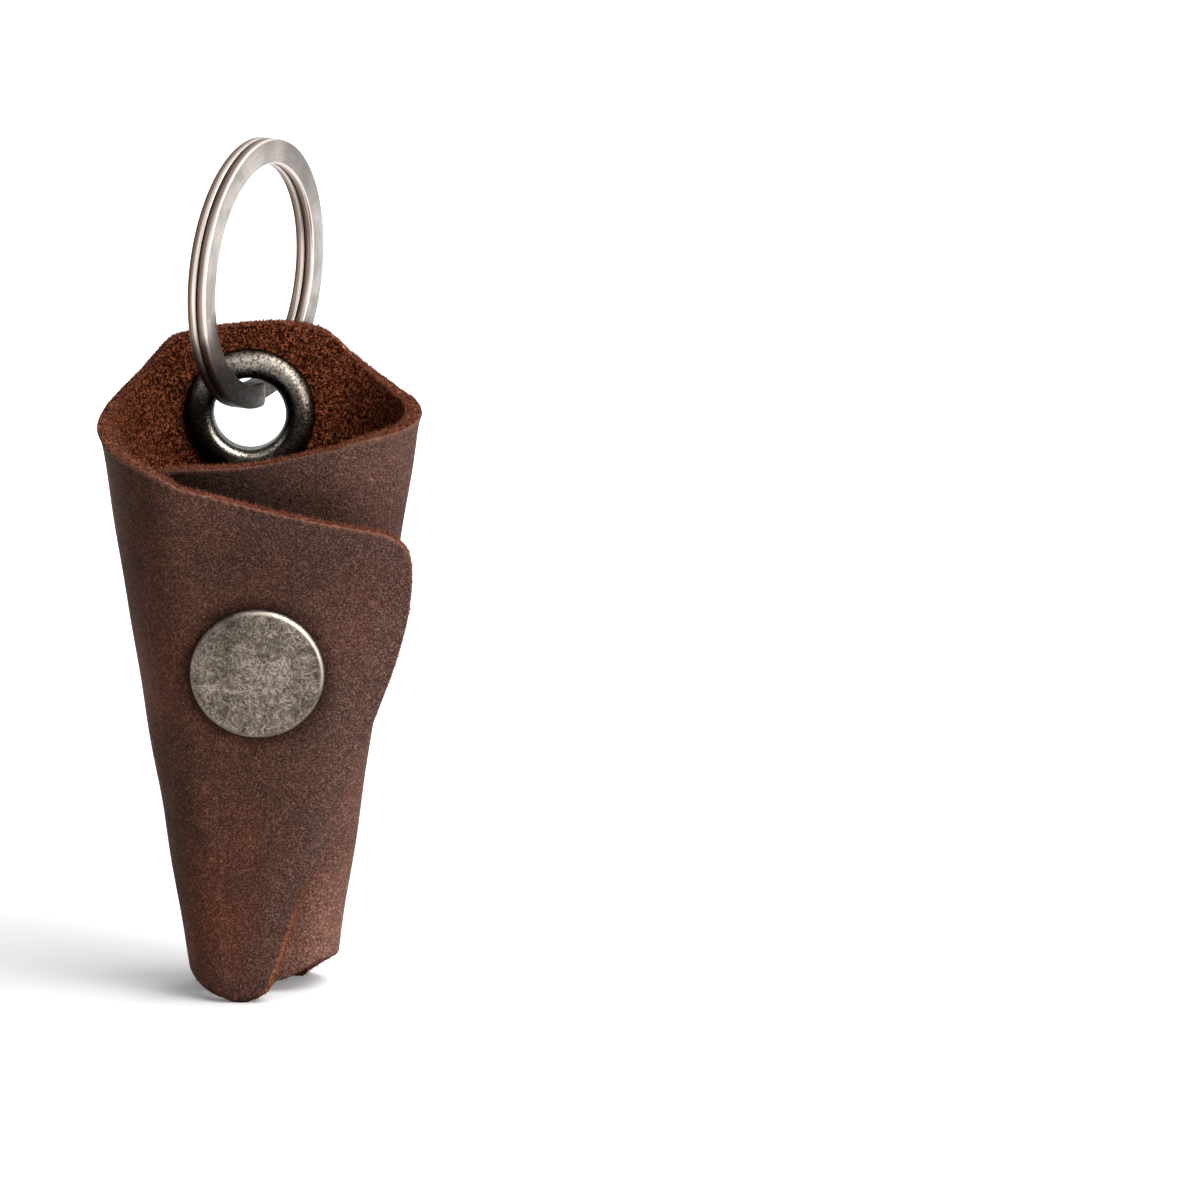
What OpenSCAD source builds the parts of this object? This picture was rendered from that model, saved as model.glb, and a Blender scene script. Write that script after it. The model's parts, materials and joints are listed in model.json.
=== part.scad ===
// Leather key holder: one sheet folded round into a tapered wrap, an eyelet with a split ring, a press snap.
// Millimetres, +Z up, +Y towards the back panel. The origin is the middle of the back panel's bottom edge.

/* [Leather sheet] */
// Thickness of the leather
leather_t = 1.8; // [1.5:0.1:2]
// Height of the eyelet tab's top above the floor
sheet_h = 69.7; // [67:0.1:76]
// Height at which the mouth is measured
mouth_z = 60; // [56:1:64]
// Width over the two folds at the mouth
mouth_w = 33.2; // [31:0.1:38]
// Width over the two folds at the floor
foot_w = 14.9; // [14:0.1:17]
// Depth from the back panel to the outer flap at the mouth
mouth_d = 23.4; // [22:0.1:27]
// Depth from the back panel to the outer flap at the floor
foot_d = 13; // [12.5:0.1:15]
// Backward lean of the back panel in degrees
back_lean = 4; // [2:0.5:6]

/* [Flaps] */
// Clear space between the two closed flaps, which the snap fills
flap_gap = 3; // [2.8:0.1:3.6]
// How far the outer flap's free corner reaches past the middle
outer_reach = 16.1; // [14:0.1:18]
// How far the inner flap's free corner reaches past the middle
inner_reach = 10.6; // [10:0.1:11]
// How far the outer flap's free corner curls back
edge_curl = 1.2; // [0:0.1:1.6]
// Clear width of the bend line between a flap and the back
bend_gap = 0.2; // [0.1:0.05:0.3]

/* [Eyelet] */
// Diameter of the eyelet's hole
eyelet_hole_d = 7.6; // [7.2:0.1:8]
// Diameter of the eyelet's front flange
eyelet_flange_d = 13.9; // [13:0.1:15]
// Height of the flange's rounded crown over the leather
eyelet_crown_h = 1.3; // [1:0.1:1.6]
// Wall of the eyelet's barrel
eyelet_wall = 0.45; // [0.3:0.05:0.6]
// Diameter of the washer behind the panel
washer_d = 13; // [12:0.1:14]
// Thickness of the washer
washer_t = 0.5; // [0.4:0.1:0.8]
// Distance from the tab's top down to the hole's middle
eyelet_drop = 9.6; // [9:0.1:12]
// Sideways place of the hole's middle
eyelet_x = -1.3; // [-1.6:0.1:1]

/* [Snap] */
// Height of the snap's middle above the floor
snap_z = 36.6; // [34:0.1:40]
// Diameter of the cap
cap_d = 14; // [13:0.1:15]
// Height of the cap over the leather
cap_h = 1.25; // [1.1:0.05:1.6]
// Sheet metal of the cap, the socket and the stud
snap_shell = 0.4; // [0.3:0.05:0.45]
// Diameter of the rivet posts
rivet_d = 2.6; // [2:0.1:2.8]
// Diameter of the socket
socket_d = 10; // [9.4:0.1:11]
// Diameter of the stud's bulb
bulb_d = 4.7; // [4.4:0.1:5]
// Room round the bulb, which lets it leave the socket along its arc
bulb_room = 0.75; // [0.6:0.05:0.9]
// Wire of the spring ring in the socket
spring_wire_d = 0.5; // [0.4:0.05:0.55]
// Diameter of the inner post's flange and of the stud's base
post_flange_d = 9.2; // [8.6:0.1:10]
// Thickness of the inner post's flange
post_flange_t = 0.5; // [0.4:0.1:0.7]

/* [Key ring] */
// Outer diameter of the split ring
ring_d = 28.6; // [26:0.1:34]
// Radial width of the flat wire
ring_wire_w = 2.6; // [2.2:0.1:2.8]
// Thickness of the flat wire along the ring's axis
ring_wire_t = 0.8; // [0.6:0.05:0.9]
// Clear space between the two turns
turn_gap = 0.5; // [0.45:0.05:0.6]
// Height left free over the wire in the eyelet's hole
ring_top_room = 0.7; // [0.6:0.05:1]
// Turn of the ring out of the back panel's plane in degrees
ring_yaw = 66; // [60:1:72]
// Sideways lean of the ring in degrees
ring_lean = 2; // [0:0.5:4]
// How far the ring has slid back along its own plane
ring_slide = 0.8; // [0:0.1:1]
// Place of the ring's split round the ring in degrees, from level at the back
split_turn = -71; // [-90:1:60]

/* [Hidden] */
$fn = 64;

// Clearance between seated pieces
seat_gap = 0.05;
// Clearance between the closed halves of the snap
snap_gap = 0.22;
// Overrun of every cut
cut_over = 1;

// Shape of the section: share of the half width that is flat, and the power of the rounded folds
flat_share = 0.5;
fold_power = 1.8;
// Turn of the bend lines round the folds, from the widest point to the front
bend_turn = 38;
quarter = 90;

// Outlines of the sheet, as [station, share of sheet_h]. Stations of the back panel run from -2.42 to 2.42:
// one unit for each flat half, one for each rear quarter of a fold and the rest up to the bend line.
bend_station = 2 + bend_turn / quarter;
back_top_shares = [[-bend_station, 0.848], [-2.27, 0.8576], [-2.17, 0.866], [-1.93, 0.878], [-1.78, 0.888],
                   [-1.55, 0.906], [-1.35, 0.929], [-1.16, 0.961], [-1.08, 0.974], [-0.97, 0.9815],
                   [-0.49, 0.9935], [0.21, 1], [0.68, 0.9905], [0.92, 0.971], [1.04, 0.9555], [1.23, 0.9315],
                   [1.52, 0.9055], [1.76, 0.896], [2, 0.8865], [2.15, 0.879], [bend_station, 0.874]];
back_foot_shares = [[-bend_station, 0.0215], [-2.25, 0.0275], [-2.07, 0.031], [-1.9, 0.031], [-1.6, 0.024],
                    [-1.3, 0.01], [-1.12, -0.002], [-1, -0.004], [1, -0.004], [1.12, -0.002], [1.5, 0.022],
                    [2, 0.045], [bend_station, 0.046]];
// Stations of a flap: 0 at the bend line, 1 where the fold ends and 2 at the free edge.
outer_top_shares = [[0, 0.848], [0.16, 0.845], [0.38, 0.8385], [0.56, 0.831], [0.95, 0.8135], [1.09, 0.801],
                    [1.26, 0.785], [1.47, 0.766], [1.69, 0.751], [1.86, 0.7395], [1.92, 0.7305],
                    [1.97, 0.715], [1.99, 0.7], [2, 0.68]];
outer_foot_shares = [[0, 0.0215], [0.25, 0.0165], [0.66, 0.01], [0.95, 0.0065], [1.15, 0.001], [1.25, -0.003],
                     [1.48, -0.003], [1.57, 0.003], [1.7, 0.0065], [1.83, 0.0115], [1.92, 0.017], [2, 0.028]];
inner_top_shares = [[0, 0.874], [0.15, 0.873], [0.55, 0.8685], [0.92, 0.8585], [1.19, 0.845], [1.32, 0.836],
                    [1.53, 0.828], [1.73, 0.8255], [1.91, 0.8245], [1.97, 0.819], [2, 0.806]];
inner_foot_shares = [[0, 0.046], [0.5, 0.042], [0.8, 0.035], [1.05, 0.029], [1.35, 0.018], [1.8, 0.017],
                     [1.94, 0.023], [2, 0.037]];
// Free edges, as [share of sheet_h, share of the reach]
outer_edge_shares = [[-0.01, 0.045], [0.036, 0.083], [0.067, 0.13], [0.148, 0.242], [0.287, 0.478],
                     [0.413, 0.696], [0.516, 0.866], [0.566, 0.932], [0.616, 0.981], [0.667, 1], [0.8, 1]];
inner_edge_shares = [[-0.01, 0.09], [0.2, 0.34], [0.5, 0.7], [0.7, 0.92], [0.8, 1], [0.9, 1]];
// Columns of each sheet between its stations, and rows up each column
bend_step = bend_turn / quarter / 4;
back_stations = concat([for (i = [0 : 3]) -bend_station + i * bend_step], [for (s = [-2 : 0.1 : 2]) s],
                       [for (i = [3 : -1 : 0]) bend_station - i * bend_step]);
flap_stations = concat([for (s = [0 : 0.125 : 1.75]) s], [1.84, 1.9, 1.94, 1.965, 1.985, 1.995, 2]);
sheet_rows = 8;

// Slopes and places that follow from the sizes
back_slope = tan(back_lean);
front_slope = (mouth_d - foot_d) / mouth_z - back_slope;
front_lean = atan(front_slope);
leather_n = leather_t * cos(front_lean);
flap_gap_n = flap_gap * cos(front_lean);
eyelet_z = sheet_h - eyelet_drop;
barrel_d = eyelet_hole_d + 2 * eyelet_wall;

// Half the width, the depth and the back face of the wrap at height z
function half_w(z) = (foot_w + (mouth_w - foot_w) * z / mouth_z) / 2;
function depth(z) = foot_d + (mouth_d - foot_d) * z / mouth_z;
function back_y(z) = leather_t / 2 + z * back_slope;
function front_y(z) = back_y(z) - depth(z);

// Smooth curve through a table of [position, value]
function span_at(x, tb, i = 0) = i >= len(tb) - 2 || x < tb[i + 1][0] ? i : span_at(x, tb, i + 1);
function rise(tb, i, j) = (tb[j][1] - tb[i][1]) / (tb[j][0] - tb[i][0]);
function slope_at(tb, i) = rise(tb, max(i - 1, 0), min(i + 1, len(tb) - 1));
function smooth(x, tb) =
    let (i = span_at(x, tb), w = tb[i + 1][0] - tb[i][0], k = min(max((x - tb[i][0]) / w, 0), 1))
    (2 * k * k * k - 3 * k * k + 1) * tb[i][1] + (k * k * k - 2 * k * k + k) * w * slope_at(tb, i)
    + (3 * k * k - 2 * k * k * k) * tb[i + 1][1] + (k * k * k - k * k) * w * slope_at(tb, i + 1);

// A point of the left fold: turn runs from -90 at the front over 0 at the widest point to 90 at the back
function fold_point(z, turn, layers, inset) =
    let (a = half_w(z), f = flat_share * a, b = (depth(z) - layers) / 2,
         c = pow(abs(cos(turn)), 2 / fold_power), s = pow(abs(sin(turn)), 2 / fold_power))
    [-f - (a - f - inset) * c, back_y(z) - b + sign(turn) * (b - inset) * s, z];
// The turn at a clear distance past the bend line, towards the back for a positive side
function bend_edge(z, layers, side) =
    let (step = norm(fold_point(z, 1 - bend_turn, layers, 0) - fold_point(z, -bend_turn, layers, 0)))
    -bend_turn + side * bend_gap / 2 / step;

// The back panel at a station and height, on the left of a plain wrap and on the right of the inner one
function back_point(s, z, inset) =
    let (layers = s > 0 ? leather_t + flap_gap : 0, side = s > 0 ? -1 : 1, m = abs(s),
         turn = max((2 - m) * quarter, bend_edge(z, layers, 1)), p = fold_point(z, turn, layers, inset))
    m <= 1 ? [s * flat_share * half_w(z), back_y(z) - inset, z] : [side * p[0], p[1], z];
// A flap that comes off the left fold, at a station and height
function flap_point(m, z, inset, layers, edge_x, curl) =
    let (turn = min(-bend_turn - m * (quarter - bend_turn), bend_edge(z, layers, -1)),
         f = flat_share * half_w(z), x = -f + (m - 1) * (edge_x + f),
         past = max(x - f, 0) / max(edge_x - f, leather_t))
    m < 1 ? fold_point(z, turn, layers, inset)
          : [x, front_y(z) + layers + inset + curl * past * past, z];

// A closed sheet from two grids of points, with columns and rows counted alike on both faces
function sheet_face(n, rows, first, flip) =
    [for (i = [0 : n - 2], j = [0 : rows - 1], k = [0, 1])
        let (a = first + i * (rows + 1) + j, b = a + rows + 1, t = k == 0 ? [a, b, b + 1] : [a, b + 1, a + 1])
        flip ? [t[0], t[2], t[1]] : t];
function sheet_rim(loop, other) =
    [for (i = [0 : len(loop) - 1], k = [0, 1])
        let (a = loop[i], b = loop[(i + 1) % len(loop)])
        k == 0 ? [a, a + other, b + other] : [a, b + other, b]];
module closed_sheet(grain, suede, n, rows) {
    loop = concat([for (i = [0 : n - 1]) i * (rows + 1)], [for (j = [1 : rows]) (n - 1) * (rows + 1) + j],
                  [for (i = [n - 2 : -1 : 0]) i * (rows + 1) + rows], [for (j = [rows - 1 : -1 : 1]) j]);
    polyhedron(points = concat(grain, suede),
               faces = concat(sheet_face(n, rows, 0, true), sheet_face(n, rows, len(grain), false),
                              sheet_rim(loop, len(grain))));
}
function row_z(low, high, j) = (low + (high - low) * j / sheet_rows) * sheet_h;
function back_grid(inset) =
    [for (s = back_stations, j = [0 : sheet_rows])
        back_point(s, row_z(smooth(s, back_foot_shares), smooth(s, back_top_shares), j), inset)];
function outer_grid(inset) =
    [for (m = flap_stations, j = [0 : sheet_rows])
        let (z = row_z(smooth(m, outer_foot_shares), smooth(m, outer_top_shares), j),
             edge_x = outer_reach * smooth(z / sheet_h, outer_edge_shares))
        flap_point(m, z, inset, 0, edge_x, edge_curl)];
function inner_grid(inset) =
    [for (m = flap_stations, j = [0 : sheet_rows])
        let (z = row_z(smooth(m, inner_foot_shares), smooth(m, inner_top_shares), j),
             edge_x = inner_reach * smooth(z / sheet_h, inner_edge_shares))
        flap_point(m, z, inset, leather_t + flap_gap, edge_x, 0)];

// Local frames: on the suede face of the back panel, and on the grain face of the outer flap at the snap
module at_eyelet() {
    translate([eyelet_x, back_y(eyelet_z) - leather_t, eyelet_z]) rotate([quarter - back_lean, 0, 0])
        children();
}
module at_snap() {
    translate([0, front_y(snap_z), snap_z]) rotate([quarter + front_lean, 0, 0]) children();
}
module below_floor() {
    translate([-mouth_w, -2 * mouth_d, -sheet_h]) cube([2 * mouth_w, 3 * mouth_d, sheet_h]);
}
module ring_of(outer_d, inner_d, low, high) {
    translate([0, 0, low]) difference() {
        cylinder(d = outer_d, h = high - low);
        translate([0, 0, -cut_over]) cylinder(d = inner_d, h = high - low + 2 * cut_over);
    }
}
function arc(middle, rx, ry, from, to, steps) =
    [for (i = [0 : steps]) let (a = from + (to - from) * i / steps) middle + [rx * cos(a), ry * sin(a)]];

// Leather
module leather_back() {
    color("#5a3a2c") difference() {
        closed_sheet(back_grid(0), back_grid(leather_t), len(back_stations), sheet_rows);
        at_eyelet() translate([0, 0, -leather_t - cut_over])
            cylinder(d = barrel_d + 2 * seat_gap, h = leather_t + 2 * cut_over);
        below_floor();
    }
}
module leather_outer_flap() {
    color("#64402f") difference() {
        closed_sheet(outer_grid(0), outer_grid(leather_t), len(flap_stations), sheet_rows);
        at_snap() translate([0, 0, -leather_t - cut_over])
            cylinder(d = rivet_d + 2 * seat_gap, h = leather_t + 2 * cut_over);
        below_floor();
    }
}
module leather_inner_flap() {
    color("#6d4634") difference() {
        mirror([1, 0, 0])
            closed_sheet(inner_grid(0), inner_grid(leather_t), len(flap_stations), sheet_rows);
        at_snap() translate([0, 0, post_seat - cut_over])
            cylinder(d = rivet_d + 2 * seat_gap, h = leather_n + 2 * cut_over);
    }
}

// Eyelet, in the frame of at_eyelet()
washer_low = -leather_t - seat_gap - washer_t;
roll_r = 0.55;
module eyelet() {
    crown_r = (eyelet_flange_d - eyelet_hole_d) / 4;
    crown_mid = eyelet_hole_d / 2 + crown_r;
    profile = concat(arc([crown_mid, seat_gap], crown_r, eyelet_crown_h, 0, 180, 24),
                     arc([eyelet_hole_d / 2 + roll_r, washer_low - seat_gap], roll_r, roll_r, 180, 360, 12),
                     [[barrel_d / 2, washer_low - seat_gap], [barrel_d / 2, seat_gap]]);
    color("#9a9184") at_eyelet() rotate_extrude() polygon(profile);
}
module eyelet_washer() {
    color("#8c8478") at_eyelet()
        ring_of(washer_d, barrel_d + 2 * seat_gap, washer_low, washer_low + washer_t);
}

// Snap, in the frame of at_snap(): depths are counted down from the outer flap's grain face
socket_seat = -leather_n - seat_gap;
stud_seat = -leather_n - flap_gap_n + seat_gap;
post_seat = -2 * leather_n - flap_gap_n;
socket_low = stud_seat + snap_shell + snap_gap;
rivet_head_low = socket_seat - 2 * snap_shell;
bulb_top = rivet_head_low - snap_gap;
mouth_r = bulb_d / 2 + bulb_room;
groove_r = mouth_r + spring_wire_d + seat_gap;
socket_lip = 0.35;
cap_fillet = 0.55;
bulb_neck = 0.25;
module snap_cap() {
    r = cap_d / 2;
    inner_r = r - snap_shell;
    under = cap_h - snap_shell;
    profile = concat([[0, cap_h]],
                     arc([r - cap_fillet, cap_h - cap_fillet], cap_fillet, cap_fillet, 90, 0, 8),
                     [[r, seat_gap], [inner_r, seat_gap], [inner_r, under], [0, under]]);
    color("#8f8a7e") at_snap() rotate_extrude() polygon(profile);
}
module snap_cap_rivet() {
    flange_r = cap_d / 2 - snap_shell - seat_gap;
    head_r = rivet_d / 2 + 2 * snap_shell;
    head_high = rivet_head_low + snap_shell - seat_gap;
    flange_high = cap_h - snap_shell - seat_gap;
    profile = [[0, flange_high], [flange_r, flange_high], [flange_r, seat_gap], [rivet_d / 2, seat_gap],
               [rivet_d / 2, head_high], [head_r, head_high], [head_r, rivet_head_low], [0, rivet_head_low]];
    color("#7d786d") at_snap() rotate_extrude() polygon(profile);
}
module snap_socket() {
    bore_r = rivet_d / 2 + seat_gap;
    floor_z = socket_seat - snap_shell;
    profile = [[bore_r, socket_seat], [socket_d / 2, socket_seat], [socket_d / 2, socket_low],
               [mouth_r, socket_low], [mouth_r, socket_low + socket_lip], [groove_r, socket_low + socket_lip],
               [groove_r, floor_z], [bore_r, floor_z]];
    color("#8a857a") at_snap() rotate_extrude() polygon(profile);
}
module snap_spring() {
    spring_turn = 320;
    color("#b0aca2") at_snap()
        translate([0, 0, socket_low + socket_lip + spring_wire_d / 2 + seat_gap])
            rotate_extrude(angle = spring_turn)
                translate([mouth_r + spring_wire_d / 2, 0]) circle(d = spring_wire_d, $fn = 24);
}
module snap_stud() {
    bulb_r = bulb_d / 2;
    bore_r = rivet_d / 2 + seat_gap;
    neck_r = bulb_r - bulb_neck;
    base_high = stud_seat + snap_shell;
    profile = concat([[bore_r, stud_seat], [post_flange_d / 2, stud_seat], [post_flange_d / 2, base_high],
                      [neck_r, base_high], [bulb_r, bulb_top - 2 * bulb_neck]],
                     arc([bulb_r - bulb_neck, bulb_top - bulb_neck], bulb_neck, bulb_neck, 0, 90, 6),
                     [[0, bulb_top], [0, bulb_top - snap_shell], [bore_r, bulb_top - snap_shell]]);
    color("#8a857a") at_snap() rotate_extrude() polygon(profile);
}
module snap_post() {
    color("#85807a") at_snap() {
        translate([0, 0, post_seat - seat_gap - post_flange_t])
            cylinder(d = post_flange_d, h = post_flange_t);
        translate([0, 0, post_seat - seat_gap - post_flange_t])
            cylinder(d = rivet_d, h = post_flange_t + bulb_top - snap_shell - post_seat);
    }
}

// Key ring: one flat wire of nearly two turns, with a step from one turn to the next
ring_r = (ring_d - ring_wire_w) / 2;
turn_pitch = ring_wire_t + turn_gap;
ring_foot = eyelet_hole_d / 2 - ring_top_room - ring_wire_w / 2;
full_turn = 360;
step_arc = 30;
ring_steps = 48;
wire_chamfer_share = 0.28;
// Half way along the barrel, where the ring's lowest point stands
barrel_mid = (washer_low - roll_r + seat_gap) / 2;
function ring_side(a) =
    let (k = min(max((a - full_turn) / step_arc + 0.5, 0), 1)) (0.5 - k * k * (3 - 2 * k)) * turn_pitch;
function wire_section(k) =
    let (w = ring_wire_w / 2, t = ring_wire_t / 2, c = wire_chamfer_share * ring_wire_t,
         p = [[w, t - c], [w - c, t], [c - w, t], [-w, t - c], [-w, c - t], [c - w, -t], [w - c, -t],
              [w, c - t]])
    p[k];
ring_first = step_arc / 2;
ring_rows = 2 * ring_steps - ring_steps * step_arc / full_turn;
function ring_angle(i) = ring_first + full_turn * i / ring_steps;
ring_points =
    [for (i = [0 : ring_rows], k = [0 : 7])
        let (a = ring_angle(i), q = wire_section(k), r = ring_r + q[0])
        [r * cos(a + split_turn), ring_side(a) + q[1], r * sin(a + split_turn)]];
// Least distance between the points of the two turns
ring_self_gap =
    min([for (i = [0 : ring_steps], d = [-3 : 3], k = [0 : 7], m = [0 : 7])
            let (j = i + ring_steps + d)
            j <= ring_rows ? norm(ring_points[i * 8 + k] - ring_points[j * 8 + m]) : ring_d]);
module key_ring() {
    echo(key_ring_least_gap = ring_self_gap);
    last = ring_rows * 8;
    color("#a8a097") at_eyelet() translate([0, 0, barrel_mid]) rotate([back_lean - quarter, 0, 0])
        translate([0, 0, ring_foot]) rotate([0, 0, ring_yaw]) rotate([ring_lean, 0, 0])
            translate([ring_slide, 0, ring_r])
                polyhedron(points = ring_points,
                           faces = concat([for (k = [1 : 6]) [0, k, k + 1]],
                                          [for (k = [1 : 6]) [last, last + k + 1, last + k]],
                                          [for (i = [0 : ring_rows - 1], k = [0 : 7], h = [0, 1])
                                              let (a = i * 8 + k, b = i * 8 + (k + 1) % 8)
                                              h == 0 ? [a, b + 8, b] : [a, a + 8, b + 8]]));
}

leather_back();
leather_outer_flap();
leather_inner_flap();
eyelet();
eyelet_washer();
snap_cap();
snap_cap_rivet();
snap_socket();
snap_spring();
snap_stud();
snap_post();
key_ring();
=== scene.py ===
import functools
import json
import math

import bmesh
import bpy
import numpy as np
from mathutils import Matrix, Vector

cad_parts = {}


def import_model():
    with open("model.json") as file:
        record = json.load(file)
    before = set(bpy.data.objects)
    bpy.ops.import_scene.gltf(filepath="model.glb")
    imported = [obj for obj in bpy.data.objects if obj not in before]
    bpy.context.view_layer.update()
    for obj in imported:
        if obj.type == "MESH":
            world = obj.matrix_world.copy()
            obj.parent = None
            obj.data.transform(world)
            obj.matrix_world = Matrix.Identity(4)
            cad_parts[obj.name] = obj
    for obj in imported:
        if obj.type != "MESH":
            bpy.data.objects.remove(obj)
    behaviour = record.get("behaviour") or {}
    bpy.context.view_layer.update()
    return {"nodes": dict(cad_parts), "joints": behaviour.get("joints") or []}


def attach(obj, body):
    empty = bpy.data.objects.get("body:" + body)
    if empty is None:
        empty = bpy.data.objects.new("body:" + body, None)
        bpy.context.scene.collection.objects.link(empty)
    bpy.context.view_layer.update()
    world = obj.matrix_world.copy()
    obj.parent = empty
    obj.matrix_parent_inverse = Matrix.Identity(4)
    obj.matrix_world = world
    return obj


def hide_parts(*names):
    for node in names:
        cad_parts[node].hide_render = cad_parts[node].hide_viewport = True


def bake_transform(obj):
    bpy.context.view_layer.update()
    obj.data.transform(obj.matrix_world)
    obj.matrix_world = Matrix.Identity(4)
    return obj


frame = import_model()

MM = 0.001
JOINTS = {j["name"]: j for j in frame["joints"]}

# Leather sheet
LEATHER_T = 1.8
SHEET_H = 69.7
MOUTH_Z = 60.0
MOUTH_W = 33.2
FOOT_W = 14.9
MOUTH_D = 23.4
FOOT_D = 13.0
BACK_LEAN = 4.0
FLAP_GAP = 3.0
OUTER_REACH = 16.1
INNER_REACH = 10.6
EDGE_CURL = 1.2
FLAT_SHARE = 0.5
FOLD_POWER = 1.8
BEND_TURN = 38.0
QUARTER = 90.0
# The rim flares by this much over the top stretch of the folds
FLARE = 0.2
FLARE_H = 2.5
# How far the hide is uneven, and how near a fitting it is flat and then uneven in full
RIPPLE = 0.12
FLAT_R = 8.0
RIPPLED_R = 16.0
# Swellings round the snap and the eyelet: distance outside the fitting, height and width
SNAP_PUFF = (1.4, 0.16, 1.5)
EYELET_PUFF = (1.2, 0.12, 1.2)
PUFF_DEPTH = 3.0

# Hardware
EYELET_X = -1.3
EYELET_Z = SHEET_H - 9.6
HOLE_D = 7.6
FLANGE_D = 13.9
CROWN_H = 1.3
BARREL_WALL = 0.45
WASHER_T = 0.5
ROLL_R = 0.55
SEAT_GAP = 0.05
# Where round a fitting its painted shade is darkest or its painted highlight brightest, from the right over
# the top, and how wide the ring's painted shade spreads
EYELET_SHADE_AT = 205.0
EYELET_HIGHLIGHT_AT = 255.0
CAP_HIGHLIGHT_AT = 48.0
RING_SHADE_AT = 52.0
RING_SHADE_WIDE = 30.0
SNAP_Z = 36.6
CAP_D = 14.0
CAP_H = 1.25
CAP_FILLET = 0.55
CAP_SHELL = 0.4
CAP_CROWN = 0.06
RING_D = 28.6
WIRE_W = 2.6
RING_WIDE = 2.1
TURN_GAP = 0.1
WIRE_CORNER = 0.17
RING_ROOM = 0.7
RING_YAW = 66.0
RING_LEAN = 2.0
RING_SLIDE = 0.8
SPLIT_TURN = -71.0
STEP_ARC = 30.0
WIRE_END_R = 0.7
RING_STEP = 3.0

# Outlines as [station, share of SHEET_H]; a flat half is one unit and so is each quarter of a fold
BEND_STATION = 2 + BEND_TURN / QUARTER
BACK_TOP = [[-BEND_STATION, 0.848], [-2.27, 0.8576], [-2.17, 0.866], [-1.93, 0.878], [-1.78, 0.888],
            [-1.55, 0.906], [-1.35, 0.929], [-1.16, 0.961], [-1.08, 0.974], [-0.97, 0.9815],
            [-0.49, 0.9935], [0.21, 1], [0.68, 0.9905], [0.92, 0.971], [1.04, 0.9555], [1.23, 0.9315],
            [1.52, 0.9055], [1.76, 0.896], [2, 0.8865], [2.15, 0.879], [BEND_STATION, 0.874]]
BACK_FOOT = [[-BEND_STATION, 0.0215], [-2.25, 0.0275], [-2.07, 0.031], [-1.9, 0.031], [-1.6, 0.024],
             [-1.3, 0.01], [-1.12, 0], [-1, 0], [1, 0], [1.12, 0], [1.5, 0.022], [2, 0.045],
             [BEND_STATION, 0.046]]
# Stations of a flap: 0 at the bend line, 1 where the fold ends and 2 at the free edge
OUTER_TOP = [[0, 0.848], [0.16, 0.845], [0.38, 0.8385], [0.56, 0.831], [0.95, 0.8135], [1.09, 0.801],
             [1.26, 0.785], [1.47, 0.766], [1.69, 0.751], [1.86, 0.7395], [1.92, 0.7305], [1.97, 0.715],
             [1.99, 0.7], [2, 0.68]]
OUTER_FOOT = [[0, 0.0215], [0.25, 0.0165], [0.66, 0.01], [0.95, 0.0065], [1.15, 0.001], [1.25, 0],
              [1.48, 0], [1.57, 0.003], [1.7, 0.0065], [1.83, 0.0115], [1.92, 0.017], [2, 0.028]]
INNER_TOP = [[0, 0.874], [0.15, 0.873], [0.55, 0.8685], [0.92, 0.8585], [1.19, 0.845], [1.32, 0.836],
             [1.53, 0.828], [1.73, 0.8255], [1.91, 0.8245], [1.97, 0.819], [2, 0.806]]
INNER_FOOT = [[0, 0.046], [0.5, 0.042], [0.8, 0.035], [1.05, 0.029], [1.35, 0.018], [1.8, 0.017],
              [1.94, 0.023], [2, 0.037]]
# Free edges as [share of SHEET_H, share of the reach]
OUTER_EDGE = [[-0.01, 0.045], [0.036, 0.083], [0.067, 0.13], [0.148, 0.242], [0.287, 0.478],
              [0.413, 0.696], [0.516, 0.866], [0.566, 0.932], [0.616, 0.981], [0.667, 1], [0.8, 1]]
INNER_EDGE = [[-0.01, 0.09], [0.2, 0.34], [0.5, 0.7], [0.7, 0.92], [0.8, 1], [0.9, 1]]
FLAPS = {"outer_flap": (OUTER_REACH, OUTER_EDGE, EDGE_CURL), "inner_flap": (INNER_REACH, INNER_EDGE, 0)}

# Photograph's view: a square picture, VIEW_WIDE across at the aim
VIEW_AIM = (35.6, -8.0, 42.5)
VIEW_DISTANCE = 1000.0
VIEW_ELEVATION = 12.5
VIEW_WIDE = 125.52
SENSOR = 36.0

# Studio
WORLD_LIGHT = 0.17
FLOOR_R = 3000.0
# The floor's own light: this much as far as the first distance, and full white from the second
FLOOR_LIFT = 0.345
FLOOR_LIFT_M = (0.06, 0.3)
# A further light on the floor, and the distances over which it comes in
FLOOR_NEAR = 0.05
FLOOR_NEAR_M = (0.0095, 0.03)
# How far round the foot its close shadow reaches
CONTACT_M = 0.012
LAMP_AIM_M = (0, -0.008, 0.04)
# Name, place and side in metres, and power in watts
LAMPS = (("key_lamp", (0.36, -0.14, 0.60), 0.45, 4.6),
         ("side_lamp", (0.62, -0.62, 0.36), 0.5, 4.4),
         ("fill_lamp", (-0.45, -0.85, 0.35), 0.8, 0.55),
         ("top_lamp", (0.16, 0.30, 0.62), 0.20, 0.6))

# Edges that turn by more than this stay crisp
LEATHER_SHARP = 60.0
TURNED_SHARP = 45.0
RING_SHARP = 50.0

# Mesh of the leather
FLAP_COLUMNS = 70
FOLD_COLUMNS = 56
BACK_COLUMNS = 56
ROWS = 110
# The share of the rows' spacing that crowds toward the foot and the top
ROW_EASE = 0.35
SEAM_STATION = 0.9
GRAIN_ARRIS = 0.28
SUEDE_ARRIS = 0.16
# Rim rows before this one have the grain's finish
RIM_GRAIN_ROWS = 3
# Two waves make the cut edge uneven: height, turn for each point and start, in radians
RIM_WAVES = ((0.035, 2.399, 0), (0.03, 0.731, 1.3))
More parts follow.
